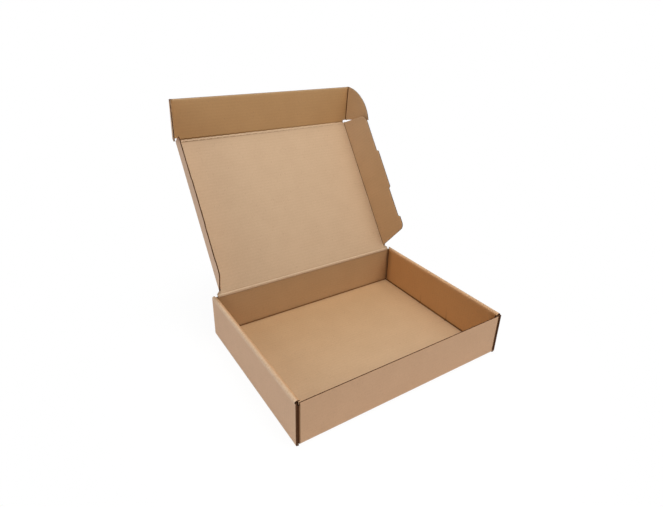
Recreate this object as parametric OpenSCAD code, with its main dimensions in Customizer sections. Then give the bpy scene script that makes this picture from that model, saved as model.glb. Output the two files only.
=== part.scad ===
// Corrugated mailer box: one folded board sheet with rolled double side walls and a hinged tuck lid.
// The origin is at the centre of the tray's underside. The front wall faces -Y and +Z is up.

/* [Board] */
// Thickness of the corrugated board
board = 2.6; // [2:0.1:3.2]
// Gap between neighbouring plies of a double wall
ply_gap = 0.1; // [0.05:0.05:0.4]
// Radius on the inside of a fold
fold_r = 0.5; // [0.2:0.1:1]
// Running gap between a flap and the panel it is hinged to
crease_gap = 0.3; // [0.2:0.05:0.6]

/* [Tray] */
// Outside length of the tray, from side wall to side wall
tray_l = 400; // [300:5:500]
// Outside width of the tray, from front to back
tray_w = 299; // [240:1:360]
// Height of the side walls
tray_h = 79; // [60:1:100]
// Length of the corner flaps that run inside the double side walls
corner_flap = 70; // [40:1:90]
// Length of the locking tab under each inner side wall
tab_l = 72; // [40:1:100]

/* [Lid] */
// How far the lid stands open, where 0 is closed
lid_open = 126; // [100:1:150]
// Side play between the lid's flaps and the inner side walls
side_play = 2.6; // [1.5:0.1:3.2]
// Gap between the closed tuck flap and the front wall
front_play = 0.6; // [0.4:0.1:1.5]
// How far the raised edges of the side flaps stand out
flap_step = 4.5; // [1:0.5:6]
// Distance from the hinge to the end of the side flaps' first raised edge
lug_end = 51; // [42:1:80]
// Distance from the hinge to the middle raised edge of the side flaps
raise_start = 116; // [95:1:125]
// Length of the middle raised edge
raise_l = 77; // [20:1:80]
// How far the left side flap leans out past square
left_lean = 11; // [8:0.5:11]
// How far the right side flap leans out past square
right_lean = 6; // [4:0.5:7]

/* [Tuck flap] */
// Depth of the front tuck flap
tuck_h = 74; // [50:1:74]
// How far the tuck flap leans out past square
tuck_lean = 49; // [40:1:55]
// Radius of the quarter-round ears
ear_r = 72; // [40:1:72]
// How far the left ear leans out past square
left_ear_lean = 14.5; // [14:0.5:18]
// How far the right ear leans out past square
right_ear_lean = 7.5; // [6:0.5:9]

/* [Hidden] */
half = board / 2;
arc_steps = 5;                                    // steps in a fold or a small corner
wall_band = 3 * board + 2 * ply_gap;              // width of a side wall's top
inner_x = tray_l / 2 - wall_band;                 // inside face of the inner side walls
corner_x = tray_l / 2 - board - ply_gap - half;   // middle of the corner flaps
corner_r = 1.3;                                   // inside radius where a corner flap turns in
wall_gap = 3.5;                                   // from an inner side wall's end to the wall it faces
front_top = tray_h - board - 4 * crease_gap;      // top of the front wall, under the closed lid
hinge_z = tray_h - half + crease_gap;
hinge_y = tray_w / 2 - half;
back_top = hinge_z - half - crease_gap;           // top of the back wall, just under the lid's crease
lid_l = 2 * hinge_y - board - front_play;         // from the lid's crease to the tuck flap's
ear_x = inner_x - side_play + 0.4 - half;         // crease of the ears
flap_x = ear_x - board - 2.2;                     // crease of the side flaps
flap_h = hinge_z - board - 0.7;                   // full depth of the side flaps
slot_play = 0.3;
tab_y = -2;                                       // middle of the locking tab along the wall
end_slant = 14;                                   // slant of the side flaps' ends
hinge_clear = 8;                                  // length of the lid's wider strip beside its hinge
hinge_half = inner_x - 2;                         // half length of the hinge, just inside the inner side walls
paper = [0.76, 0.60, 0.45];
paper_light = [0.78, 0.65, 0.51];

function unit(v) = v / norm(v);
function heading(v) = atan2(v.y, v.x);
function wrap(a) = a > 180 ? a - 360 : a < -180 ? a + 360 : a;

// Points with their left-hand normals round the corner b, between a and c, at radius r
function corner(a, b, c, r, steps) =
    let (from = heading(b - a), turn = wrap(heading(c - b) - from),
         side = turn > 0 ? 1 : -1,
         start = b - unit(b - a) * r * tan(abs(turn) / 2),
         centre = start + side * r * [-sin(from), cos(from)])
    [for (i = [0:steps])
        let (a = from + turn * i / steps, n = [-sin(a), cos(a)])
        [centre - side * r * n, n]];

// The middle line of a folded board: straight runs with round corners
function fold_line(pts, r) =
    let (last = len(pts) - 1,
         first_n = unit([pts[0].y - pts[1].y, pts[1].x - pts[0].x]),
         last_n = unit([pts[last - 1].y - pts[last].y, pts[last].x - pts[last - 1].x]))
    concat([[pts[0], first_n]],
           [for (i = [1:last - 1]) each corner(pts[i - 1], pts[i], pts[i + 1], r, arc_steps)],
           [[pts[last], last_n]]);

// The section of a board folded along the points
module folded(pts, r = fold_r) {
    line = fold_line(pts, r + half);
    back = [for (i = [len(line) - 1:-1:0]) line[i]];
    polygon(concat([for (p = line) p[0] + p[1] * half], [for (p = back) p[0] - p[1] * half]));
}

// An outline with its own radius at each point, given as [x, y, r]
function rounded(pts, steps) =
    let (n = len(pts))
    [for (i = [0:n - 1])
        let (a = pts[(i + n - 1) % n], b = pts[i], c = pts[(i + 1) % n])
        each (b[2] == 0 ? [[b.x, b.y]]
              : [for (p = corner([a.x, a.y], [b.x, b.y], [c.x, c.y], b[2], steps)) p[0]])];

// A cut panel standing in its own Y and Z, as thick as the board
module panel(outline) {
    rotate([90, 0, 90]) linear_extrude(height = board, center = true) polygon(outline);
}

// The round back of a fold, along X
module fold_back(length) {
    rotate([0, 90, 0]) cylinder(r = half, h = length, center = true, $fn = 24);
}

// Places its children in the lid's own frame: Y away from the hinge, Z into the box
module in_lid() {
    translate([0, hinge_y, hinge_z]) rotate([180 - lid_open, 0, 0]) children();
}

// Places its children in the tuck flap's own frame: Y away from its crease, Z back towards the hinge
module in_tuck() {
    in_lid() translate([0, lid_l, 0]) rotate([90 - tuck_lean, 0, 0]) children();
}

module side_walls() {
    inner = inner_x + half;
    outer = tray_l / 2 - half;
    top = tray_h - half;
    foot = board + 0.8;
    difference() {
        rotate([90, 0, 0]) linear_extrude(height = tray_w, center = true)
            folded([[-inner, foot], [-inner, top], [-outer, top], [-outer, half],
                    [outer, half], [outer, top], [inner, top], [inner, foot]]);
        for (s = [-1, 1]) {
            // the base stops short of the front and back walls, and the inner walls a little more
            translate([0, s * tray_w / 2, 0])
                cube([2 * (corner_x - half), 2 * (board + ply_gap), 3 * tray_h], center = true);
            translate([0, s * tray_w / 2, board + tray_h])
                cube([2 * (corner_x - half), 2 * (board + wall_gap), 2 * tray_h], center = true);
            // slots in the base for the locking tabs
            translate([s * (inner_x + half), tab_y, 0])
                cube([board + 2 * slot_play, tab_l + 2 * slot_play, 2 * board + 0.1], center = true);
        }
    }
    for (s = [-1, 1])
        translate([s * (inner_x + half), tab_y, (foot + 1) / 2])
            cube([board, tab_l, foot + 1], center = true);
}

module front_and_back() {
    y = tray_w / 2 - half;
    flat_half = corner_x - half - corner_r;       // half length of the flat part of each wall
    rotate([90, 0, 90]) linear_extrude(height = 2 * flat_half, center = true)
        folded([[-y, front_top], [-y, half], [-y + 3 * board, half]]);
    rotate([90, 0, 90]) linear_extrude(height = 2 * flat_half, center = true)
        folded([[y - 3 * board, half], [y, half], [y, back_top]]);
    // each wall turns in at its ends and runs on inside the side walls
    for (s = [-1, 1]) {
        top = s < 0 ? front_top - 5 : tray_h - board - 3 * ply_gap - fold_r;
        foot = board + 0.4;
        end = s * (tray_w / 2 - corner_flap);
        translate([0, 0, foot]) linear_extrude(height = top - foot)
            folded([[-corner_x, end], [-corner_x, s * y], [-flat_half + 3, s * y]], corner_r);
        translate([0, 0, foot]) linear_extrude(height = top - foot)
            folded([[corner_x, end], [corner_x, s * y], [flat_half - 3, s * y]], corner_r);
    }
}

module tray() {
    color(paper) {
        side_walls();
        front_and_back();
    }
}

module lid() {
    edge = flap_x - half - crease_gap;            // half width between the side flaps
    free_end = lid_l - half - 2 * crease_gap;      // room for the tuck flap to lean in when it is closed
    color(paper_light) in_lid() {
        fold_back(2 * hinge_half);
        translate([0, 0, -half]) linear_extrude(height = board) polygon([
            [-hinge_half, 0], [hinge_half, 0], [hinge_half, board], [flap_x + half, hinge_clear],
            [edge, hinge_clear], [edge, free_end], [-edge, free_end], [-edge, hinge_clear],
            [-flap_x - half, hinge_clear], [-hinge_half, board]]);
    }
}

// A side flap in its own frame: Y along the lid and Z away from the crease
module side_flap() {
    low = flap_h - flap_step;
    first = hinge_clear + half;                   // the flap's root starts past the end of the hinge
    last = lid_l - half - 1;                      // and stops short of the tuck flap
    slant = tan(end_slant);
    ramp = 3;                                     // each step's length
    outline = rounded([
        [first, 0, 0], [first + flap_h * slant, flap_h, 13], [lug_end, flap_h, 1.2],
        [lug_end + ramp, low, 1.2], [raise_start - ramp, low, 1.2], [raise_start, flap_h, 1.2],
        [raise_start + raise_l, flap_h, 1.2], [raise_start + raise_l + ramp, low, 1.2],
        [last - low * slant, low, 16], [last, 0, 0]], arc_steps);
    panel(outline);
    rotate([-90, 0, 0]) translate([0, 0, first]) cylinder(r = half, h = last - first, $fn = 24);
}

module left_side_flap() {
    color(paper) in_lid() translate([-flap_x, 0, 0]) rotate([0, -left_lean, 0]) side_flap();
}

module right_side_flap() {
    color(paper) in_lid() translate([flap_x, 0, 0]) rotate([0, right_lean, 0]) side_flap();
}

module front_tuck_flap() {
    edge = ear_x - half - crease_gap;             // half width between the ears
    root = flap_x - half - crease_gap - 1.5;      // half width at the lid, with a relief at each end
    relief = 4;
    color(paper) in_tuck() {
        fold_back(2 * root);
        translate([0, 0, -half]) linear_extrude(height = board) polygon([
            [-root, 0], [root, 0], [root, relief / 2], [edge, relief], [edge, tuck_h], [-edge, tuck_h],
            [-edge, relief], [-root, relief / 2]]);
    }
}

// An ear in its own frame: Y along its crease and Z away from it
module ear() {
    foot = 4;                                     // the crease starts clear of the lid
    taper = 14;                                   // slant of the lower edge, clear of the closed lid
    quarter = [for (i = [0:20]) let (a = 90 * i / 20) [foot + (tuck_h - foot) * cos(a), ear_r * sin(a)]];
    intersection() {
        panel(concat([[foot, 0]], quarter));
        panel([[foot, 0], [tuck_h, 0], [tuck_h, ear_r], [foot + ear_r * tan(taper), ear_r]]);
    }
    rotate([-90, 0, 0]) translate([0, 0, foot]) cylinder(r = half, h = tuck_h - foot, $fn = 24);
}

module left_ear() {
    color(paper) in_tuck() translate([-ear_x, 0, 0]) rotate([0, -left_ear_lean, 0]) ear();
}

module right_ear() {
    color(paper) in_tuck() translate([ear_x, 0, 0]) rotate([0, right_ear_lean, 0]) ear();
}

tray();
lid();
left_side_flap();
right_side_flap();
front_tuck_flap();
left_ear();
right_ear();
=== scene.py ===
"""Corrugated mailer box standing open: the looks of the sheet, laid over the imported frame.

Every panel is worked out in sheet coordinates, as the board lay flat before it was folded: u runs along
the flutes and v across them, in metres, and a fold takes each point to its place on the box.
"""

import bpy
import numpy as np
from mathutils import Matrix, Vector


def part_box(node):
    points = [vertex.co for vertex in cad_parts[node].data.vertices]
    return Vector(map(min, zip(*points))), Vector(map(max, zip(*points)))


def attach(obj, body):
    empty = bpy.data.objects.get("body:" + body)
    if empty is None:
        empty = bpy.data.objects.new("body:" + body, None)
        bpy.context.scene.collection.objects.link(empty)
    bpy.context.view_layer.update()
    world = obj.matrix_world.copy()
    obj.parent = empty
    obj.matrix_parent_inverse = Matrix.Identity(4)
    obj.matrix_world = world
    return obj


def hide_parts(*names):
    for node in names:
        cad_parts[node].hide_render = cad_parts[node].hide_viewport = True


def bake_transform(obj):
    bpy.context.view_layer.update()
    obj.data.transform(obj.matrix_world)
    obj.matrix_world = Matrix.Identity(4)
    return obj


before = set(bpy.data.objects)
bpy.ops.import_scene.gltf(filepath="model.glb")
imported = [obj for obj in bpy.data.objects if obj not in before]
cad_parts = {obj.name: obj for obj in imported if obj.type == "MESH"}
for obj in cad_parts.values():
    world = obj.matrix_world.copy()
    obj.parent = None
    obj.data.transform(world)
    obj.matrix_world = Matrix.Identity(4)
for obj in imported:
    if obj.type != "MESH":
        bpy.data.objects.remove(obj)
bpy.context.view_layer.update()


# The tray
# The largest part of the one die-cut sheet: base, front and back walls, corner flaps, and side walls that
# roll over at the top and run down inside to a tab in a slot of the base. It is creased, folded and tucked,
# with no glue. The board is brown single-wall: a paler outer liner, a browner inner one, flutes between.
board = 0.0026
half = board / 2
liner = 0.0003
flute_paper = 0.00022
flute_pitch = 0.0058
flute_height = half - liner - flute_paper / 2 + 0.00002      # the crests sink into the glue line
fold_round = 0.0018                                          # middle of the board round a square fold
corner_round = 0.0026                                        # and where a corner flap turns in
quarter = np.pi / 2

tray_length, tray_width, tray_height = np.array(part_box("tray")[1]) * (2, 2, 1)
ply_gap = 0.0001
inner_wall = tray_length / 2 - 2 * (board + ply_gap) - half  # middle of each ply of a side wall
corner_flap = tray_length / 2 - (board + ply_gap) - half
outer_wall = tray_length / 2 - half
wall_top = tray_height - half
wall_y = tray_width / 2 - half
front_top = 0.0752
back_top = 0.0764
corner_top = 0.0756
corner_end = tray_width / 2 - 0.070
inner_foot = 0.0034
inner_end = tray_width / 2 - board - 0.0035                  # the inner side walls stop short here
slit = 0.0005                                                # cut between the front wall and a side wall
slit_mouth = 0.0015                                          # and its wider mouth at the bottom fold
flap_drop = 0.005                                            # the front corner flaps are cut lower by this
tab_middle, tab_half, slot_play = -0.002, 0.036, 0.0003
crease_reach = 0.0037                                        # half width of a crease's pressed band
hinge_drop = 0.0045                                          # depth of the hinge's band on the back wall
band_end = tray_width / 2 - 0.0026                           # the side walls' tops stop just behind the front


def folded_line(corners, radius, steps=6):
    """The middle line of a folded board, as (length, points, heading) at each station.

    Straight runs are shortened by the radius at each square corner, and a fold adds equal small turns: a step
    that turns by a little goes on along the chord, 2 r sin(turn / 2), in the direction halfway through it.
    """
    runs = np.diff(np.asarray(corners, float), axis=0)
    heading = np.unwrap(np.arctan2(runs[:, 1], runs[:, 0]))
    trim = radius * np.tan(np.abs(np.diff(heading)) / 2)
    straight = np.hypot(*runs.T) - np.append(trim, 0) - np.append(0, trim)
    turn = np.diff(heading)[:, None] / steps * np.ones(steps)
    arc = radius * np.abs(turn)
    chord = 2 * radius * np.sin(np.abs(turn) / 2)
    towards = heading[:-1, None] + (np.arange(steps) + 0.5) / steps * np.diff(heading)[:, None]
    facing = heading[:-1, None] + (np.arange(steps) + 1) / steps * np.diff(heading)[:, None]
    lengths = np.append(np.hstack([straight[:-1, None], arc]).ravel(), straight[-1])
    chords = np.append(np.hstack([straight[:-1, None], chord]).ravel(), straight[-1])
    angles = np.append(np.hstack([heading[:-1, None], towards]).ravel(), heading[-1])
    facings = np.append(np.hstack([heading[:-1, None], facing]).ravel(), heading[-1])
    moves = chords[:, None] * np.stack([np.cos(angles), np.sin(angles)], axis=1)
    points = np.vstack([corners[0], corners[0] + np.cumsum(moves, axis=0)])
    return np.append(0, np.cumsum(lengths)), points, np.append(heading[0], facings)


def along(line, length):
    """Point and heading on a folded line at each length."""
    at, points, heading = line
    return (np.interp(length, at, points[:, 0]), np.interp(length, at, points[:, 1]),
            np.interp(length, at, heading))


def stations(breaks, step):
    """The breaks in order, with even steps between them that are no longer than step."""
    breaks = np.unique(np.round(breaks, 7))
    counts = np.ceil(np.diff(breaks) / step - 1e-6).astype(int)
    runs = [np.linspace(a, b, n, endpoint=False) for a, b, n in zip(breaks, breaks[1:], counts)]
    return np.append(np.concatenate(runs), breaks[-1])


def cell_middles(u, v):
    """The middles of a grid's cells, as two grids."""
    return np.meshgrid((u[1:] + u[:-1]) / 2, (v[1:] + v[:-1]) / 2, indexing="ij")


def grid_shell(points, normals, low, high, present):
    """A thin closed shell on a grid, as corners, faces and their sides (0 low, 1 high, 2 edge).

    Each grid point goes low and high along its normal. Cells that are present get a face on both sides, and
    each of their edges that has no neighbour is closed by a strip from the low side to the high side.
    """
    shape = points.shape[:2]
    run, across = points[1:, :-1] - points[:-1, :-1], points[:-1, 1:] - points[:-1, :-1]
    if np.einsum("ijk,ijk->ij", np.cross(run, across), normals[:-1, :-1])[present].mean() < 0:
        low, high = np.broadcast_to(low, shape)[::-1], np.broadcast_to(high, shape)[::-1]
        corners, faces, sides, order = grid_shell(points[::-1], normals[::-1], low, high, present[::-1])
        return corners, faces, sides, np.arange(shape[0] * shape[1]).reshape(shape)[::-1].ravel()[order]
    low = points + normals * np.broadcast_to(low, shape)[..., None]
    high = points + normals * np.broadcast_to(high, shape)[..., None]
    number = np.arange(shape[0] * shape[1]).reshape(shape)
    up = number.size
    a, b, c, d = number[:-1, :-1], number[1:, :-1], number[1:, 1:], number[:-1, 1:]
    padded = np.pad(present, 1)
    open_left, open_right = present & ~padded[:-2, 1:-1], present & ~padded[2:, 1:-1]
    open_near, open_far = present & ~padded[1:-1, :-2], present & ~padded[1:-1, 2:]
    kinds = [((d, c, b, a), present), ((a + up, b + up, c + up, d + up), present),
             ((a + up, d + up, d, a), open_left), ((b, c, c + up, b + up), open_right),
             ((a, b, b + up, a + up), open_near), ((d + up, c + up, c, d), open_far)]
    faces = [np.stack(corners, axis=-1)[where] for corners, where in kinds]
    sides = np.repeat(np.minimum(np.arange(6), 2), [len(f) for f in faces])
    used, faces = np.unique(np.concatenate(faces), return_inverse=True)
    corners = np.concatenate([low.reshape(-1, 3), high.reshape(-1, 3)])[used]
    return corners, faces.reshape(-1, 4), sides, used % up


def board_mesh(name, shells, finishes, sharp_angle=0.7):
    """One object from shells of (grid shell, sheet u, sheet v, scuffing and painted light and shade, tint of
    painted shade, finish of low, high and edge).
    """
    start, corners, faces, finish, sheet, wear, tone = 0, [], [], [], [], [], []
    for (points, quads, sides, source), u, v, worn_and_shaded, brown, slots in shells:
        corners.append(points)
        faces.append(quads + start)
        finish.append(np.asarray(slots)[sides])
        sheet.append(np.stack([u.ravel()[source], v.ravel()[source]], axis=1))
        wear.append(np.broadcast_to(worn_and_shaded, u.shape).ravel()[source])
        tone.append(np.broadcast_to(brown, u.shape).ravel()[source])
        start += len(points)
    corners, faces, sheet = np.concatenate(corners), np.concatenate(faces), np.concatenate(sheet)
    mesh = bpy.data.meshes.new(name)
    mesh.vertices.add(len(corners))
    mesh.vertices.foreach_set("co", corners.ravel())
    mesh.loops.add(faces.size)
    mesh.loops.foreach_set("vertex_index", faces.ravel())
    mesh.polygons.add(len(faces))
    mesh.polygons.foreach_set("loop_start", np.arange(len(faces)) * 4)
    for material in finishes:
        mesh.materials.append(material)
    mesh.polygons.foreach_set("material_index", np.concatenate(finish))
    mesh.update(calc_edges=True)
    mesh.uv_layers.new(name="Sheet").uv.foreach_set("vector", sheet[faces.ravel()].ravel())
    # Attributes: scuffing with a painted highlight and painted shade, and a tint of painted shade.
    mesh.attributes.new("wear", "FLOAT", "POINT").data.foreach_set("value", np.concatenate(wear))
    mesh.attributes.new("brown", "FLOAT", "POINT").data.foreach_set("value", np.concatenate(tone))
    mesh.polygons.foreach_set("use_smooth", np.ones(len(faces), bool))
    mesh.set_sharp_from_angle(angle=sharp_angle)
    mesh.validate()
    made = bpy.data.objects.new(name, mesh)
    bpy.context.scene.collection.objects.link(made)
    return made


def put(tree, kind, settings=None, **inputs):
    """A shader node. Inputs are set or linked by name, with _ for a space, or by number after an i."""
    made = tree.nodes.new(kind)
    for name, value in (settings or {}).items():
        setattr(made, name, value)
    for name, value in inputs.items():
        numbered = name[0] == "i" and name[1:].isdigit()
        socket = made.inputs[int(name[1:]) if numbered else name.replace("_", " ")]
        if isinstance(value, bpy.types.NodeSocket):
            tree.links.new(value, socket)
        else:
            socket.default_value = value
    return made


def math(tree, operation, *values):
    """A Math node's result."""
    inputs = {f"i{n}": value for n, value in enumerate(values)}
    return put(tree, "ShaderNodeMath", {"operation": operation}, **inputs).outputs[0]


def blend_colour(tree, factor, first, second, way="MIX"):
    """Colour of a Mix node, clamped to the factor."""
    made = put(tree, "ShaderNodeMix", {"data_type": "RGBA", "blend_type": way},
               i0=factor, i6=first, i7=second)
    return made.outputs[2]


def ramp(tree, value, low, high, to_low=0.0, to_high=1.0):
    """A value taken smoothly from low..high to to_low..to_high."""
    made = put(tree, "ShaderNodeMapRange", {"interpolation_type": "SMOOTHSTEP"}, Value=value,
               From_Min=low, From_Max=high, To_Min=to_low, To_Max=to_high)
    return made.outputs[0]


def kraft_paper_group():
    """Kraft paper in sheet coordinates.

    Its colour is faintly cloudy at the size of a hand and mottled at the size of a grain, with fibres drawn
    out across the flutes and a faint band over each flute. The tint input draws it towards a darker, richer
    tone: painted shade, the colour of hollows lit only by light bounced off the board. The scuff input mixes
    in paler paper above 0, partly real scuffing and partly a painted highlight on fold edges and ridges, and
    below 0 a dark colour, painted shade in grooves, creases and corners. Its height is the washboard of the
    flutes, a sine across them, with the mottle and the fibres on top.
    """
    group = bpy.data.node_groups.new("kraft_paper", "ShaderNodeTree")
    for name, kind in (("Sheet", "Vector"), ("Paper", "Color"), ("Dark Fibre", "Color"),
                       ("Scuffed", "Color"), ("Groove", "Color"), ("Wear", "Float"), ("Brown", "Float"),
                       ("Washboard", "Float")):
        group.interface.new_socket(name, in_out="INPUT", socket_type="NodeSocket" + kind)
    for name, kind in (("Color", "Color"), ("Height", "Float")):
        group.interface.new_socket(name, in_out="OUTPUT", socket_type="NodeSocket" + kind)
    given = group.nodes.new("NodeGroupInput").outputs
    sheet = given["Sheet"]

    def noise(scale, detail, stretch=(1, 1, 1), rough=0.5):
        drawn = put(group, "ShaderNodeVectorMath", {"operation": "MULTIPLY"}, i0=sheet, i1=stretch)
        return put(group, "ShaderNodeTexNoise", Vector=drawn.outputs[0], Scale=scale, Detail=detail,
                   Roughness=rough).outputs[0]

    cloud, mottle = noise(26, 3), noise(300, 3, rough=0.6)
    fibre, fleck = noise(1, 2, (1700, 260, 1)), noise(1, 1, (900, 150, 1))
    across = put(group, "ShaderNodeSeparateXYZ", Vector=sheet).outputs[1]
    wander = math(group, "MULTIPLY", noise(7, 1), 1.2)
    turns = math(group, "ADD", math(group, "MULTIPLY", across, 2 * np.pi / flute_pitch), wander)
    band = math(group, "SINE", turns)
    tone = math(group, "ADD", ramp(group, cloud, 0.3, 0.7, -0.016, 0.016),
                ramp(group, mottle, 0.3, 0.7, -0.02, 0.02))
    tone = math(group, "ADD", tone, ramp(group, fibre, 0.25, 0.75, -0.025, 0.025))
    tone = math(group, "ADD", tone, math(group, "MULTIPLY", math(group, "MULTIPLY", band, 0.012),
                                         given["Washboard"]))
    shade = put(group, "ShaderNodeCombineColor", Red=math(group, "ADD", tone, 1.0),
                Green=math(group, "MULTIPLY_ADD", tone, 1.15, 1.0),
                Blue=math(group, "MULTIPLY_ADD", tone, 1.4, 1.0)).outputs[0]
    colour = blend_colour(group, 1.0, given["Paper"], shade, "MULTIPLY")
    # Painted shade: the tint darkens and saturates the paper where light bounced inside the tray would.
    colour = blend_colour(group, given["Brown"], colour, (0.95, 0.765, 0.455, 1), "MULTIPLY")
    colour = blend_colour(group, ramp(group, fleck, 0.70, 0.78, 0, 0.4), colour, given["Dark Fibre"])
    worn_and_shaded = math(group, "MULTIPLY", given["Wear"], ramp(group, mottle, 0.3, 0.65, 0.6, 1.0))
    # Above 0: paler paper, partly real scuffing and partly a painted highlight on fold edges and ridges.
    colour = blend_colour(group, worn_and_shaded, colour, given["Scuffed"])
    # Below 0: painted shade, a dark colour standing for the shade in grooves, creases and corners.
    colour = blend_colour(group, math(group, "MULTIPLY", given["Wear"], -1.0), colour, given["Groove"])
    height = math(group, "MULTIPLY", math(group, "MULTIPLY", band, 0.000022), given["Washboard"])
    height = math(group, "MULTIPLY_ADD", mottle, 0.00003, height)
    height = math(group, "MULTIPLY_ADD", fibre, 0.000014, height)
    result = group.nodes.new("NodeGroupOutput")
    group.links.new(colour, result.inputs["Color"])
    group.links.new(height, result.inputs["Height"])
    return group


def liner_finish(name, paper, dark_fibre, scuffed, groove, offset, washboard):
    """A liner's paper, read from the sheet coordinates; offset keeps its two sides from matching."""
    material = bpy.data.materials.new(name)
    material.use_nodes = True
    tree = material.node_tree
    surface = tree.nodes["Principled BSDF"]
    flat = put(tree, "ShaderNodeUVMap", {"uv_map": "Sheet"}).outputs[0]
    moved = put(tree, "ShaderNodeMapping", Vector=flat, Location=(0, 0, offset)).outputs[0]
    # Two attributes: scuffing with a painted highlight and painted shade, and a tint of painted shade.
    worn_and_shaded, brown = (put(tree, "ShaderNodeAttribute", {"attribute_name": name}).outputs["Fac"]
                   for name in ("wear", "brown"))
    fibres = put(tree, "ShaderNodeGroup", {"node_tree": kraft}, Sheet=moved, Paper=(*paper, 1),
                 Dark_Fibre=(*dark_fibre, 1), Scuffed=(*scuffed, 1), Groove=(*groove, 1), Wear=worn_and_shaded,
                 Brown=brown, Washboard=washboard)
    relief = put(tree, "ShaderNodeBump", Strength=1.0, Distance=1.0, Height=fibres.outputs["Height"])
    tree.links.new(fibres.outputs["Color"], surface.inputs["Base Color"])
    tree.links.new(relief.outputs[0], surface.inputs["Normal"])
    # Specular fades out where shade is painted into grooves.
    tree.links.new(ramp(tree, worn_and_shaded, -0.5, 0.0, 0.0, 0.5), surface.inputs["Specular IOR Level"])
    surface.inputs["Roughness"].default_value = 0.62
    return material


def raw_paper_finish(name, dark, pale, scale):
    """Unfinished paper on a cut edge or in a flute, mottled between two browns that are darker than the
    paper's
    own: partly its own colour and partly painted shade of the flute openings.
    """
    material = bpy.data.materials.new(name)
    material.use_nodes = True
    tree = material.node_tree
    surface = tree.nodes["Principled BSDF"]
    place = put(tree, "ShaderNodeTexCoord").outputs["Object"]
    grain = put(tree, "ShaderNodeTexNoise", Vector=place, Scale=scale, Detail=3.0).outputs[0]
    colour = blend_colour(tree, ramp(tree, grain, 0.3, 0.7), (*dark, 1), (*pale, 1))
    relief = put(tree, "ShaderNodeBump", Strength=1.0, Distance=0.00004, Height=grain)
    tree.links.new(colour, surface.inputs["Base Color"])
    tree.links.new(relief.outputs[0], surface.inputs["Normal"])
    surface.inputs["Roughness"].default_value = 0.85
    surface.inputs["Specular IOR Level"].default_value = 0.05
    return material


kraft = kraft_paper_group()
# The last two colours of each liner: paler paper for scuffing, partly a painted highlight, and a dark colour
# for painted shade in grooves.
outer_liner = liner_finish("outer_liner", (0.545, 0.336, 0.199), (0.28, 0.155, 0.08), (0.68, 0.50, 0.34),
                           (0.065, 0.021, 0.008), 0.31, 0.7)
inner_liner = liner_finish("inner_liner", (0.543, 0.366, 0.217), (0.28, 0.155, 0.08), (0.66, 0.48, 0.31),
                           (0.09, 0.027, 0.008), 0.74, 1.0)
# Cut edges and fluting are darker than kraft paper is: partly their own colour, partly painted shade for the
# open flutes.
cut_edge = raw_paper_finish("cut_edge", (0.10, 0.042, 0.020), (0.17, 0.082, 0.042), 900)
flute_finish = raw_paper_finish("flute_paper", (0.17, 0.075, 0.037), (0.24, 0.115, 0.06), 500)
finishes = [outer_liner, inner_liner, cut_edge, flute_finish]
OUTER, INNER, CUT, FLUTE = range(4)


def plies(place, u, v, fine_u, fine_v, present, wear=None, brown=None, squeeze=None):
    """The three papers of a board, each a shell: the outer liner, the inner liner and the fluting.

    The fluting leaves the middle of the board by a sine of the sheet's v, one turn for each flute. Where the
    die has crushed the board, every paper comes nearer the middle by the same share.
    """
    shells = []
    for low, high, slots, (p, q), side in (
            (-half, liner - half, (OUTER, FLUTE, CUT), (u, v), 0),
            (half - liner, half, (FLUTE, INNER, CUT), (u, v), 1),
            (None, None, (FLUTE, FLUTE, CUT), (fine_u, fine_v), 0)):
        points, normals, sheet_u, sheet_v = place(p, q)
        if low is None:
            middle = flute_height * np.sin(2 * np.pi * sheet_v / flute_pitch)
            low, high = middle - flute_paper / 2, middle + flute_paper / 2
        thick = squeeze(*np.meshgrid(p, q, indexing="ij")) if squeeze else 1.0
        worn_and_shaded, tone = (given(sheet_u, sheet_v)[side] if given else 0.0 for given in (wear, brown))
        shell = grid_shell(points, normals, low * thick, high * thick, present(p, q))
        shells.append((shell, sheet_u, sheet_v, worn_and_shaded, tone, slots))
    return shells


def crushed(distance):
    """How much of the board's thickness is left at a distance from a cut edge, by a bell curve."""
    return 1 - 0.4 * np.exp(-(distance / 0.0013) ** 2)


side_line = folded_line([(-inner_wall, 0), (-inner_wall, wall_top), (-outer_wall, wall_top),
                         (-outer_wall, half), (outer_wall, half), (outer_wall, wall_top),
                         (inner_wall, wall_top), (inner_wall, 0)], fold_round)
end_line = folded_line([(0, half), (wall_y, half), (wall_y, tray_height)], fold_round)
turn_line = folded_line([(0, 0), (corner_flap, 0), (corner_flap, wall_y - corner_end)], corner_round)
sheet_end = side_line[0][-1] / 2                        # u at the foot of the inner side walls
roll_end = sheet_end - (wall_top - fold_round)
roll = roll_end - quarter * fold_round
top_start = roll - (outer_wall - inner_wall - 2 * fold_round) - quarter * fold_round
flat_end = corner_flap - corner_round                   # u where the front wall starts to turn in
fold_start = wall_y - fold_round                        # v where the base starts to turn up
wall_start = fold_start + quarter * fold_round
wall_level = half + fold_round                          # z at wall_start


def sheet_height(z):
    """The sheet's v at a height on the front or back wall."""
    return wall_start + z - wall_level


hinge_z = wall_top + 0.0003
hinge_half = 0.1900                                     # half length of the lid's hinge
crease_v = sheet_height(hinge_z)


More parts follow.
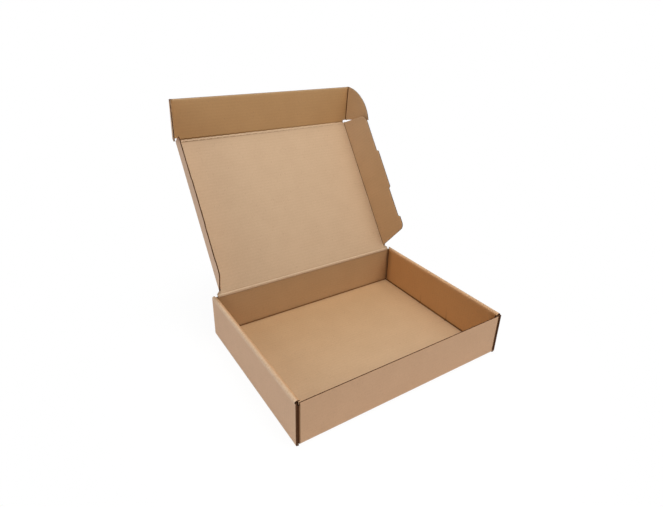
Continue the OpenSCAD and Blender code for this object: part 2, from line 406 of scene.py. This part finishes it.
def tray_place(u, v):
    """Where the tray's sheet lies. A side strip follows its rolled section at its own u, and keeps y = v. The
    rest takes its height from the wall's section at v, and turns in with the corner flap's plan at u."""
    u, v = np.meshgrid(u, v, indexing="ij")
    x, z, heading = along(side_line, u + sheet_end)
    strip = np.stack([x, v, z], axis=-1)
    strip_normal = np.stack([-np.sin(heading), np.zeros_like(x), np.cos(heading)], axis=-1)
    out, z, rise = along(end_line, np.abs(v))
    far, inward, turn = along(turn_line, np.abs(u))
    wall = np.stack([np.sign(u) * far, np.sign(v) * (out - inward), z], axis=-1)
    wall_normal = np.stack([-np.sign(u) * np.sin(turn) * np.sin(rise),
                            -np.sign(v) * np.sin(rise) * np.cos(turn), np.cos(rise)], axis=-1)
    beside = (np.abs(u) > flat_end + slit / 2) & (np.abs(v) < tray_width / 2 + slit / 2)
    points = np.where(beside[..., None], strip, wall)
    return points, np.where(beside[..., None], strip_normal, wall_normal), u, v


def tray_present(u, v):
    """Which cells of the blank are board: what is left after the outline, the slits and slots are cut."""
    u, v = cell_middles(u, v)
    far, out = np.abs(u), np.abs(v)
    strip = (out < fold_start) | ((far > flat_end + slit) & (out < tray_width / 2))
    strip &= (far < roll_end) | (out < inner_end)
    strip &= (far < roll) | (v < fold_start - 0.001)
    strip &= (far < top_start) | (v > -band_end)
    strip &= (far < flat_end) | (far > flat_end + slit_mouth) | (v > -fold_start)
    tab = np.abs(v - tab_middle) < tab_half
    strip &= (far < sheet_end - inner_foot) | tab
    slot_cut = (np.abs(far - inner_wall) < half + slot_play) & (np.abs(v - tab_middle) < tab_half + slot_play)
    strip &= ~slot_cut
    wall_height = np.where(v < 0, sheet_height(front_top),
                           np.where(far < hinge_half, crease_v - hinge_drop, sheet_height(back_top)))
    wall = (far < flat_end) & (out > fold_start) & (out < wall_height)
    flap = (far > flat_end) & (far < turn_line[0][-1]) & (out > tray_width / 2 + slit)
    flap &= out < np.where(v < 0, sheet_height(front_top - flap_drop), sheet_height(corner_top))
    return (far < sheet_end) & (strip | wall | flap)


def tray_wear_and_shading(u, v):
    """Scuffing and painted shade on both liners: bell curves of the distance from the folds.

    The outer liner is paler along the folds, most on the top edges, partly from scuffing and partly as a
    painted highlight. It has painted shade where a corner flap turns in, and at the cut ends and feet of the
    inner walls. The inner liner has painted shade inside each fold, along the feet of the inner walls, most
    at the ends of their tabs, faintly across the floor towards the back wall, where the corner flaps turn in
    by the slits, and at the front and back ends of the side walls' tops.
    """
    def near(value, fold, width):
        return np.exp(-((value - fold) / width) ** 2)
    far, out = np.abs(u), np.abs(v)
    beside = out < tray_width / 2 + slit / 2
    folds = zip(side_line[0][4:-1:7] - sheet_end, (0.4, 1.6, 1, 1, 1.6, 0.4))
    rolled = np.max([near(u, fold, 0.0026) * share for fold, share in folds], axis=0) * beside
    bottom = near(out, (fold_start + wall_start) / 2, 0.0022) * (far < flat_end + slit / 2)
    # Painted shade in the hollow where the front wall turns into a corner flap.
    corner = np.clip((far - flat_end + 0.0015) / 0.0025, 0, 1) * ~beside
    tab_end = near(np.abs(v - tab_middle), tab_half, 0.0016)
    foot = near(np.minimum(far, inner_wall - half), inner_wall - half, 0.0018 + 0.0018 * tab_end) * beside
    wall_foot = near(far, sheet_end - inner_foot, 0.0016 + 0.002 * tab_end) * beside
    inside = near(out, (fold_start + wall_start) / 2, 0.0027) * (far < flat_end + slit / 2)
    turned = near(np.minimum(far, flat_end + 0.002), flat_end + 0.002, 0.006) * ~beside
    wall_end = near(out, inner_end, 0.004) * (far > roll_end)
    # Painted shade at the front and back ends of the side walls' tops.
    edge_shade = 0.95 * near(out, tray_width / 2, 0.0045) * (far > outer_wall) * (far < top_start)
    # Painted shade: the floor's inner liner darkens towards the back wall, where the lid and back wall shade
    # it.
    back_wall_shade = 0.08 * near(v, fold_start, 0.11) * (far < inner_wall) * (v < fold_start)
    # Above 0 is paler paper along the folds, partly a painted highlight; every value below 0 is painted
    # shade.
    outer = 0.55 * np.maximum(rolled, bottom) - 0.95 * corner - np.maximum(0.4 * wall_end, 0.7 * wall_foot)
    inner = -np.max([0.95 * foot * (far < inner_wall), 0.95 * inside, 0.7 * turned, back_wall_shade,
                     edge_shade * beside], axis=0)
    return outer, inner


def tray_shade_tint(u, v):
    """Painted shade as a tint towards a darker, richer tone, on the outer liner and the inner one: most on
    the inner side walls, half on the side walls' tops and on the inner faces of the front and back walls,
    more across the floor towards the back, a little on the front wall's outside, and none on the other outer
    faces.
    """
    far, upright = np.abs(u), np.abs(v) > wall_start
    inner_side = np.interp(far, [top_start, top_start + 0.002, roll, roll + 0.002], [0, 0.5, 0.5, 1])
    outer = np.where(upright & (far < top_start), np.where(v < 0, 0.22, 0), inner_side)
    return outer, np.where(upright, 0.5, np.interp(v, [-0.13, -0.05, 0.12], [0, 0.15, 0.45]))


fold_starts, fold_ends = side_line[0][1:-1:7] - sheet_end, side_line[0][7:-1:7] - sheet_end
cuts_u = np.array([flat_end, flat_end + slit, flat_end + slit_mouth, inner_wall - half - slot_play,
                   inner_wall + half + slot_play, hinge_half, sheet_end - inner_foot])
cuts_v = np.array([inner_end, band_end, tray_width / 2, tray_width / 2 + slit])
tops_v = np.array([-sheet_height(front_top), flap_drop - sheet_height(front_top), crease_v - hinge_drop,
                   sheet_height(back_top), sheet_height(corner_top)])
tab_ends = tab_middle + np.outer([-1, 1], [tab_half, tab_half + slot_play]).ravel()
turned_up = end_line[0][1:-1]
tray_u = np.concatenate([side_line[0] - sheet_end, turn_line[0], -turn_line[0], cuts_u, -cuts_u])
tray_v = np.concatenate([turned_up, -turned_up, cuts_v, -cuts_v, tops_v, tab_ends])
near_foot = inner_wall - half - np.array([0, 0.0006, 0.0012, 0.002, 0.003, 0.005])
near_edge = sheet_end - inner_foot - np.array([0.0008, 0.0018, 0.0035])
near_turn = flat_end + np.array([-0.006, -0.004, -0.0025, -0.0015, -0.0005, 0.001, 0.01])
near_end = tray_width / 2 - np.array([0.001, 0.004, 0.007])
near_tab = tab_middle + np.outer([-1, 1], tab_half + np.array([-0.003, -0.0015, 0.0015, 0.003])).ravel()
near_top = np.array([0.0006, 0.0013, 0.002, 0.003]) - sheet_height(front_top)
near_fold = np.append(wall_start + np.array([0.0005, 0.0015, 0.004]),
                      fold_start - np.array([0.0005, 0.0015, 0.004]))
beside_u = np.concatenate([tray_u, fold_starts - 0.004, fold_ends + 0.004, near_foot, -near_foot, near_turn,
                           -near_turn, near_edge, -near_edge])
beside_v = np.concatenate([tray_v, near_tab, near_top, near_fold, -near_fold, near_end, -near_end])
tray_shells = plies(tray_place, stations(beside_u, 0.03), stations(beside_v, 0.012), stations(tray_u, 0.1),
                    stations(tray_v, flute_pitch / 6), tray_present, tray_wear_and_shading, tray_shade_tint,
                    lambda u, v: crushed(v + sheet_height(front_top)))
tray_sheet = board_mesh("tray_sheet", tray_shells, finishes)
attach(tray_sheet, "tray")
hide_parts("tray")


# The lid
# The panel that hinges on the back wall, one sheet with it. It is flat board with its flutes along the
# hinge, and it bows out very slightly, as board does when it has been folded up for a while.
lid_open = np.radians(126)
lid_length = 0.2932
flap_x = 0.1839                                         # crease of the side flaps
hinge_clear = 0.008                                     # length of the wider strip beside the hinge
lid_bow = 0.0009
lid_origin = np.array([0, wall_y, hinge_z])
sideways = np.array([1.0, 0, 0])
lid_out = np.array([0, -np.cos(lid_open), np.sin(lid_open)])
lid_in = np.array([0, -np.sin(lid_open), -np.cos(lid_open)])
lid_edge = flap_x - crease_reach
tuck_band = 0.0066                                      # how far the tuck crease's band goes into the lid


def lid_place(u, s):
    """The lid's plane at u along the hinge and s away from it, bowed out by a half wave each way.

    Past its edge u is drawn in evenly, from the end of the hinge to the root of the side flap.
    """
    u, s = np.meshgrid(u, s, indexing="ij")
    beyond = np.maximum(np.abs(u) - lid_edge, 0) / (hinge_half - lid_edge)
    reach = np.interp(s, [crease_reach, hinge_clear], [hinge_half, flap_x + half])
    u = np.clip(u, -lid_edge, lid_edge) + np.sign(u) * beyond * (reach - lid_edge)
    bow = -lid_bow * np.clip(1 - (u / lid_edge) ** 2, 0, 1) * np.sin(np.pi * s / lid_length)
    points = lid_origin + u[..., None] * sideways + s[..., None] * lid_out + bow[..., None] * lid_in
    return points, np.broadcast_to(lid_in, points.shape), u, crease_v + s


def lid_present(u, s):
    """The panel, and the wider strip beside the hinge."""
    u, s = cell_middles(u, s)
    return (np.abs(u) < lid_edge) | (s < hinge_clear)


lid_u = np.array([-hinge_half, -lid_edge, 0, lid_edge, hinge_half])
lid_s = np.array([crease_reach, hinge_clear, lid_length - tuck_band])
lid_shells = plies(lid_place, stations(lid_u, 0.02), stations(lid_s, 0.012), stations(lid_u, 0.03),
                   stations(lid_s, flute_pitch / 8), lid_present)
lid_panel = board_mesh("lid_panel", lid_shells, finishes)
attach(lid_panel, "lid")
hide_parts("lid")


# The front tuck flap
# The flap along the lid's free edge, which goes down inside the front wall. Its flutes run along the
# crease, so its long edge shows the slit between the liners.
tuck_open = np.radians(90 + 49)
tuck_height = 0.07398
ear_x = 0.1887                                          # crease of the ears
tuck_root = 0.1808                                      # half width beside the lid's relief cuts
tuck_foot = 0.004
tuck_bow = 0.0006
tuck_origin = lid_origin + lid_length * lid_out
tuck_out = np.sin(tuck_open) * lid_in - np.cos(tuck_open) * lid_out
tuck_in = -(np.sin(tuck_open) * lid_out + np.cos(tuck_open) * lid_in)
tuck_edge = ear_x - crease_reach
tuck_v = crease_v + lid_length


def tuck_place(u, h):
    """The tuck flap's plane at u along its crease and h away from it, bowed in towards its free edge."""
    u, h = np.meshgrid(u, h, indexing="ij")
    bow = tuck_bow * np.clip(1 - (u / tuck_edge) ** 2, 0, 1) * (h / tuck_height) ** 2
    points = tuck_origin + u[..., None] * sideways + h[..., None] * tuck_out + bow[..., None] * tuck_in
    return points, np.broadcast_to(tuck_in, points.shape), u, tuck_v + h


def tuck_present(u, h):
    """The flap, narrower beside the lid."""
    u, h = cell_middles(u, h)
    return (np.abs(u) < tuck_root) | (h > tuck_foot)


tuck_u = np.array([-tuck_edge, -tuck_root, 0, tuck_root, tuck_edge])
tuck_h = np.array([crease_reach, tuck_foot, tuck_height])
tuck_top = tuck_height - np.array([0.0006, 0.0013, 0.002, 0.003])
tuck_shells = plies(tuck_place, stations(tuck_u, 0.02), stations(np.append(tuck_h, tuck_top), 0.01),
                    stations(tuck_u, 0.03), stations(tuck_h, flute_pitch / 8), tuck_present,
                    # Paler free edge, partly scuffing and partly a painted highlight; tints of painted shade
                    # on the outer and inner faces.
                    wear=lambda u, v: [0.6 * np.exp(-((v - tuck_v - tuck_height) / 0.0018) ** 2)] * 2,
                    brown=lambda u, v: (0.3, 0.8), squeeze=lambda u, h: crushed(tuck_height - h))
tuck_panel = board_mesh("front_tuck_flap_panel", tuck_shells, finishes)
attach(tuck_panel, "front_tuck_flap")
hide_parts("front_tuck_flap")


# The side flaps
# One on each side of the lid, creased across the flutes, so that the flutes open on its long edge. Its ends
# slant, its corners are round, and two lengths of its edge stand out by a few millimetres.
flap_height = hinge_z - board - 0.0007
flap_step = 0.0045
flap_first = hinge_clear + half
flap_last = lid_length - half - 0.001
end_slant = np.tan(np.radians(14))
lug_end, raise_start, raise_end = 0.051, 0.116, 0.193
step_ramp = 0.003
lug_round, end_round, step_round = 0.013, 0.016, 0.0012
flap_bow = 0.0005
flap_leans = {"left": np.radians(11), "right": np.radians(6)}      # how far each flap leans outwards
least_rim = 0.0004                                      # depth beyond the crease band where a rim starts


def rounded_outline(points, steps=6):
    """An open outline of (along, away, radius) with each inner corner rounded by its radius: the arc starts
    and ends at radius times the tangent of half the turn from the corner, about a centre on the bisector."""
    points = np.asarray(points, float)
    before, at, after = points[:-2, :2], points[1:-1, :2], points[2:, :2]
    radius = points[1:-1, 2:]
    into, out = at - before, after - at
    into, out = into / np.linalg.norm(into, axis=1)[:, None], out / np.linalg.norm(out, axis=1)[:, None]
    turn = np.arctan2(into[:, 0] * out[:, 1] - into[:, 1] * out[:, 0], np.sum(into * out, axis=1))[:, None]
    t = np.linspace(0, 1, steps + 1)[None, :, None]
    side = np.sign(turn)
    start = at - into * radius * np.tan(np.abs(turn) / 2)
    normal = np.stack([-into[:, 1], into[:, 0]], axis=1) * side
    angle = turn[:, None] * t
    swing = (into[:, None] * np.sin(np.abs(angle)) + normal[:, None] * (1 - np.cos(angle))) * radius[:, None]
    arcs = start[:, None] + swing
    return np.vstack([points[:1, :2], arcs.reshape(-1, 2), points[-1:, :2]])


flap_low = flap_height - flap_step
flap_outline = rounded_outline([
    (flap_first, 0, 0), (flap_first + flap_height * end_slant, flap_height, lug_round),
    (lug_end, flap_height, step_round), (lug_end + step_ramp, flap_low, step_round),
    (raise_start - step_ramp, flap_low, step_round), (raise_start, flap_height, step_round),
    (raise_end, flap_height, step_round), (raise_end + step_ramp, flap_low, step_round),
    (flap_last - flap_low * end_slant, flap_low, end_round), (flap_last, 0, 0)])


def flap_grid(outline, root, place, bow):
    """Gives a placing function for a flap whose depth at each station along its crease follows an outline.

    Its first parameter goes from 0 at the crease band to 1 at the cut edge, and its second runs along the
    crease. The bow draws the cut edge in, most at the middle of its length.
    """
    first, last = outline[0, 0], outline[-1, 0]

    def placed(share, s):
        share, s = np.meshgrid(share, s, indexing="ij")
        depth = root + share * (np.interp(s, outline[:, 0], outline[:, 1]) - root)
        lift = bow * (depth / outline[:, 1].max()) ** 2 * np.sin(np.pi * (s - first) / (last - first))
        return place(s, depth, lift)
    return placed


rim_shares = np.append(np.linspace(0, 0.94, 6), (0.965, 0.98, 0.99, 1))      # closer by the cut edge


def whole(u, v):
    """Every cell is board."""
    return np.ones((len(u) - 1, len(v) - 1), bool)


def deep_enough(outline, depth):
    """The stretch of an outline that is at least that far from the crease, as its two ends."""
    fine = np.linspace(outline[0, 0], outline[-1, 0], 4000)
    kept = fine[np.interp(fine, outline[:, 0], outline[:, 1]) > depth]
    return kept[0], kept[-1]


for hand, side in (("left", -1), ("right", 1)):
    name, lean = hand + "_side_flap", flap_leans[hand]
    away = np.cos(lean) * lid_in + side * np.sin(lean) * sideways
    facing_in = -side * np.cos(lean) * sideways + np.sin(lean) * lid_in
    hinge_line = lid_origin + side * flap_x * sideways

    def side_flap_place(s, depth, lift, side=side, away=away, facing_in=facing_in, start=hinge_line):
        points = start + s[..., None] * lid_out + depth[..., None] * away + lift[..., None] * facing_in
        return points, np.broadcast_to(facing_in, points.shape), side * (flap_x + depth), crease_v + s

    ends = deep_enough(flap_outline, crease_reach + least_rim)
    within = flap_outline[(flap_outline[:, 0] > ends[0]) & (flap_outline[:, 0] < ends[1]), 0]
    flap_s = np.concatenate([ends, within])
    # The inner face takes a tint of painted shade, most near the hinge.
    flap_shells = plies(flap_grid(flap_outline, crease_reach, side_flap_place, flap_bow),
                        rim_shares, stations(flap_s, 0.008), rim_shares, stations(flap_s, flute_pitch / 8),
                        whole, brown=lambda u, v: (0, np.interp(v - crease_v, [0, 0.15, lid_length],
                                                                [0.5, 0.4, 0.1])),
                        squeeze=lambda share, s: crushed((1 - share) * flap_height))
    flap_panel = board_mesh(name + "_panel", flap_shells, finishes)
    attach(flap_panel, name)
    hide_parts(name)


# The ears
# A quarter-round ear on each end of the tuck flap, creased across the flutes. It stands outside the side
# flap and slips into the side wall when the box is shut. The flutes open all round its curved edge.
ear_reach = 0.072
ear_taper = np.tan(np.radians(14))
ear_foot = tuck_height - tuck_foot                     # length of the ear's crease
sweep = np.linspace(np.arctan2(ear_foot / ear_taper, ear_reach), 0, 37)
ear_outline = np.stack([np.append(tuck_foot, tuck_foot + ear_foot * np.cos(sweep)),
                        np.append(0, ear_reach * np.sin(sweep))], axis=1)
ear_bow = 0.0004
ear_leans = {"left": np.radians(14.5), "right": np.radians(7.5)}

for hand, side in (("left", -1), ("right", 1)):
    name, lean = hand + "_ear", ear_leans[hand]
    away = np.cos(lean) * tuck_in + side * np.sin(lean) * sideways
    facing_in = -side * np.cos(lean) * sideways + np.sin(lean) * tuck_in
    hinge_line = tuck_origin + side * ear_x * sideways

    def ear_place(h, depth, lift, side=side, away=away, facing_in=facing_in, start=hinge_line):
        points = start + h[..., None] * tuck_out + depth[..., None] * away + lift[..., None] * facing_in
        return points, np.broadcast_to(facing_in, points.shape), side * (ear_x + depth), tuck_v + h

    ends = deep_enough(ear_outline, crease_reach + least_rim)
    within = ear_outline[(ear_outline[:, 0] > ends[0]) & (ear_outline[:, 0] < ends[1]), 0]
    ear_h = np.concatenate([ends, within])
    # The inner face takes a tint of painted shade.
    ear_shells = plies(flap_grid(ear_outline, crease_reach, ear_place, ear_bow),
                       rim_shares, stations(ear_h, 0.004), rim_shares, stations(ear_h, flute_pitch / 8),
                       whole, brown=lambda u, v: (0, 0.4),
                       squeeze=lambda share, h: crushed((1 - share) * ear_reach))
    ear_panel = board_mesh(name + "_panel", ear_shells, finishes)
    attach(ear_panel, name)
    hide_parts(name)


# The creases
# Where a panel of the lid hinges, the die has pressed the board thin, so it bends there like cloth. Each
# crease is a strip from one panel's face to the next, with its own ridges and grooves along it.
bend_half = 0.0024                                      # how far from its middle a crease bends


def crease_strip(name, middle, line, onward, inner, fold, across, stretch, flat, relief, wander,
                 ripple, brown, fade=1.0):
    """A pressed strip that turns from one panel into the next.

    A point p across the crease and q through the board turns about the crease's middle by the fold times
    w, and w goes smoothly from 0 to 1 over the width that bends. The relief is a list of bell curves over
    p, as middle, half width, height and a scuff value: above 0 paler paper, partly scuffing and partly a
    painted highlight on a ridge, and below 0 painted shade in the grooves. It wanders by a few sines of the
    length t, ripples with the flutes where it crosses them, and fades towards the far end. The outer face
    sinks by one shallow bell, and its scuffing is weaker: it is a shell of its own below the middle of the
    board. A tint of painted shade goes from one panel's to the next's across the crease.
    """
    count = int((stretch[1] - stretch[0]) / (flute_pitch / 6))
    p, t = np.meshgrid(np.linspace(*across, 33), np.linspace(*stretch, count), indexing="ij")
    share = (p - across[0]) / (across[1] - across[0])
    rim = 1 - np.abs(2 * share - 1) ** 8
    drift = wander * rim * (np.sin(t * 410 + 1) + 0.7 * np.sin(t * 947 + 2) + 0.5 * np.sin(t * 1630))
    bent = np.clip((p + bend_half) / (2 * bend_half), 0, 1)
    angle = (fold * bent * bent * (3 - 2 * bent))[..., None]
    points = middle + t[..., None] * line + p[..., None] * (np.cos(angle) * onward + np.sin(angle) * inner)
    facing = np.cos(angle) * inner - np.sin(angle) * onward
    strength = np.interp(t, stretch, (1, fade)) * rim
    waved = 1 + ripple * np.sin(2 * np.pi * t / flute_pitch)
    rise, worn_and_shaded = np.zeros(p.shape), np.zeros(p.shape)
    for place, width, height, wear in relief:
        bell = np.exp(-((p - drift - place) / width) ** 2) * strength
        rise += height * bell * (waved if height > 0 else 1)
        worn_and_shaded += wear * bell
    bottom = 0.22 * half * np.exp(-(p / 0.0016) ** 2) * rim - half
    cells = np.ones(np.subtract(p.shape, 1), bool)
    tone = np.interp(p, [-bend_half, bend_half], brown)
    outside = grid_shell(points, facing, bottom, 0.0, cells)
    inside = grid_shell(points, facing, 0.0, half + rise, cells)
    made = board_mesh(name, [(outside, *flat(p, t), 0.2 * np.maximum(worn_and_shaded, 0), 0.4 * tone, (OUTER, CUT, CUT)),
                             (inside, *flat(p, t), worn_and_shaded, tone, (CUT, INNER, CUT))], finishes, 1.0)
    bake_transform(made)


# In each relief list, a last number above 0 paints scuffing with a highlight and below 0 painted shade in
# grooves; the pair of tints is painted shade.
crease_strip("lid_hinge_strip", lid_origin, sideways, np.array([0, 0, 1.0]),
             np.array([0, -1.0, 0]), np.pi / 2 - lid_open, (-hinge_drop, crease_reach),
             (-hinge_half, hinge_half), lambda p, t: (t, crease_v + p),
             [(-0.0038, 0.0006, -0.0003, -0.6), (-0.0018, 0.0013, 0.0006, 0.9), (0.0008, 0.0013, 0.0003, 0.9),
              (0.0031, 0.0005, -0.0003, -0.4)],
             wander=0.00004, ripple=0, brown=(0.1, 0))
crease_strip("tuck_flap_crease_strip", tuck_origin, sideways, lid_out, lid_in,
             np.pi - tuck_open, (-tuck_band, crease_reach), (-tuck_root, tuck_root),
             lambda p, t: (t, tuck_v + p),
             [(-0.0057, 0.0009, -0.0003, -0.8), (-0.0032, 0.0016, 0.0010, 1.0),
              (0.0006, 0.0012, -0.0006, -0.9)],
             wander=0.0004, ripple=0, brown=(0, 0.8), fade=0.3)
for hand, side in (("left", -1), ("right", 1)):
    crease_strip(hand + "_side_flap_crease_strip",
                 lid_origin + side * flap_x * sideways, lid_out, side * sideways, lid_in,
                 np.pi / 2 - flap_leans[hand],
                 (-crease_reach, crease_reach), (hinge_clear, flap_last),
                 lambda p, t, side=side: (side * (flap_x + p), crease_v + t),
                 [(-0.0018, 0.0008, 0.0001, 0.3), (0, 0.0010, -0.0005, -0.9), (0.0018, 0.0006, 0.0001, 0)],
                 wander=0.00004, ripple=0.6, brown=(0, 0.35))
    crease_strip(hand + "_ear_crease_strip",
                 tuck_origin + side * ear_x * sideways, tuck_out, side * sideways, tuck_in,
                 np.pi / 2 - ear_leans[hand], (-crease_reach, crease_reach), (tuck_foot, tuck_height),
                 lambda p, t, side=side: (side * (ear_x + p), tuck_v + t),
                 [(-0.0022, 0.0006, 0.0001, 0), (0, 0.0017, -0.0006, -1.0), (0.0022, 0.0006, 0.0001, 0)],
                 wander=0.00004, ripple=0.6, brown=(0.8, 0.5))


# The studio
# A pale floor and plain soft light. The floor and the world look white to the camera, as in the
# photograph, and the floor keeps a faint shadow near the box. A bright card on the floor round the box
# throws light up on the outer walls, and hardly any reaches inside the tray.
floor_size = 6.0
card_near, card_far, card_glow = 0.35, 0.9, 0.27        # the bright card fades between these distances
shadow_near, shadow_far, shadow_share = 0.2, 0.5, 0.1   # and so does the shadow that the camera sees
across = np.array([-1, 1, 1, -1]) * floor_size
ahead = np.array([-1, -1, 1, 1]) * floor_size
floor_mesh = bpy.data.meshes.new("floor")
floor_mesh.from_pydata(np.stack([across, ahead, np.full(4, -0.0004)], axis=1), [], [(0, 1, 2, 3)])
floor = bpy.data.objects.new("floor", floor_mesh)
bpy.context.scene.collection.objects.link(floor)
paper_white = bpy.data.materials.new("pale_floor")
paper_white.use_nodes = True
tree = paper_white.node_tree
pale = tree.nodes["Principled BSDF"]
pale.inputs["Base Color"].default_value = (0.86, 0.86, 0.86, 1)
pale.inputs["Roughness"].default_value = 0.9
pale.inputs["Specular IOR Level"].default_value = 0.1


def seen_by_camera(tree):
    """1 for camera, glossy and transmission rays, else 0."""
    rays = put(tree, "ShaderNodeLightPath").outputs
    return math(tree, "MAXIMUM", math(tree, "MAXIMUM", rays["Is Camera Ray"], rays["Is Glossy Ray"]),
                rays["Is Transmission Ray"])


place = put(tree, "ShaderNodeTexCoord").outputs["Object"]
distance = put(tree, "ShaderNodeVectorMath", {"operation": "LENGTH"}, i0=place).outputs["Value"]
glow = put(tree, "ShaderNodeEmission", Color=(1, 1, 1, 1),
           Strength=ramp(tree, distance, card_near, card_far, card_glow, 0.0))
lit = put(tree, "ShaderNodeAddShader", i0=pale.outputs[0], i1=glow.outputs[0])
white = put(tree, "ShaderNodeEmission", Color=(1, 1, 1, 1), Strength=1.0)
whiteness = math(tree, "MULTIPLY", seen_by_camera(tree),
                 ramp(tree, distance, shadow_near, shadow_far, 1 - shadow_share, 1.0))
mixed = put(tree, "ShaderNodeMixShader", i0=whiteness, i1=lit.outputs[0], i2=white.outputs[0])
tree.links.new(mixed.outputs[0], tree.nodes["Material Output"].inputs["Surface"])
floor_mesh.materials.append(paper_white)

world = bpy.data.worlds.new("studio")
bpy.context.scene.world = world
world.use_nodes = True
tree = world.node_tree
fill_strength = 0.165
tree.nodes["Background"].inputs["Color"].default_value = (1, 1, 1, 1)
tree.links.new(math(tree, "MULTIPLY_ADD", seen_by_camera(tree), 1 - fill_strength, fill_strength),
               tree.nodes["Background"].inputs["Strength"])


def soft_box(name, place, aim, size, power):
    """A square soft lamp that faces the point it is aimed at."""
    light = bpy.data.lights.new(name, "AREA")
    light.shape, light.size, light.energy = "SQUARE", size, power
    lamp = bpy.data.objects.new(name, light)
    place, aim = np.array(place, float), np.array(aim, float)
    away = (place - aim) / np.linalg.norm(place - aim)
    right = np.cross([0, 0, 1.0], away)
    right /= np.linalg.norm(right)
    turned = np.eye(4)
    turned[:3, 0], turned[:3, 1], turned[:3, 2], turned[:3, 3] = right, np.cross(away, right), away, place
    lamp.matrix_world = Matrix(turned.tolist())
    bpy.context.scene.collection.objects.link(lamp)


soft_box("top_lamp", (0, -0.1, 2.5), (0, 0, 0.1), 1.2, 31)
soft_box("right_lamp", (0.8, -1.45, 1.9), (0, 0, 0.1), 1.2, 18.3)
soft_box("left_lamp", (-2.08, -0.3, 1.3), (0, 0, 0.1), 1.2, 12.8)

scene = bpy.context.scene
scene.view_settings.view_transform = "Standard"
camera = bpy.data.objects.new("camera", bpy.data.cameras.new("camera"))
camera.data.lens = 26.503
camera.data.shift_x, camera.data.shift_y = -0.0012, -0.01045
right, up, forward = (0.83872, -0.54398, 0.02527), (0.21984, 0.38067, 0.8982), (0.49822, 0.74778, -0.43886)
camera.matrix_world = Matrix([[right[n], up[n], -forward[n], at] for n, at in
                              enumerate((-0.42957, -0.56974, 0.53801))] + [[0, 0, 0, 1]])
camera.data.clip_start, camera.data.clip_end = 0.01, 50
scene.collection.objects.link(camera)
scene.camera = camera
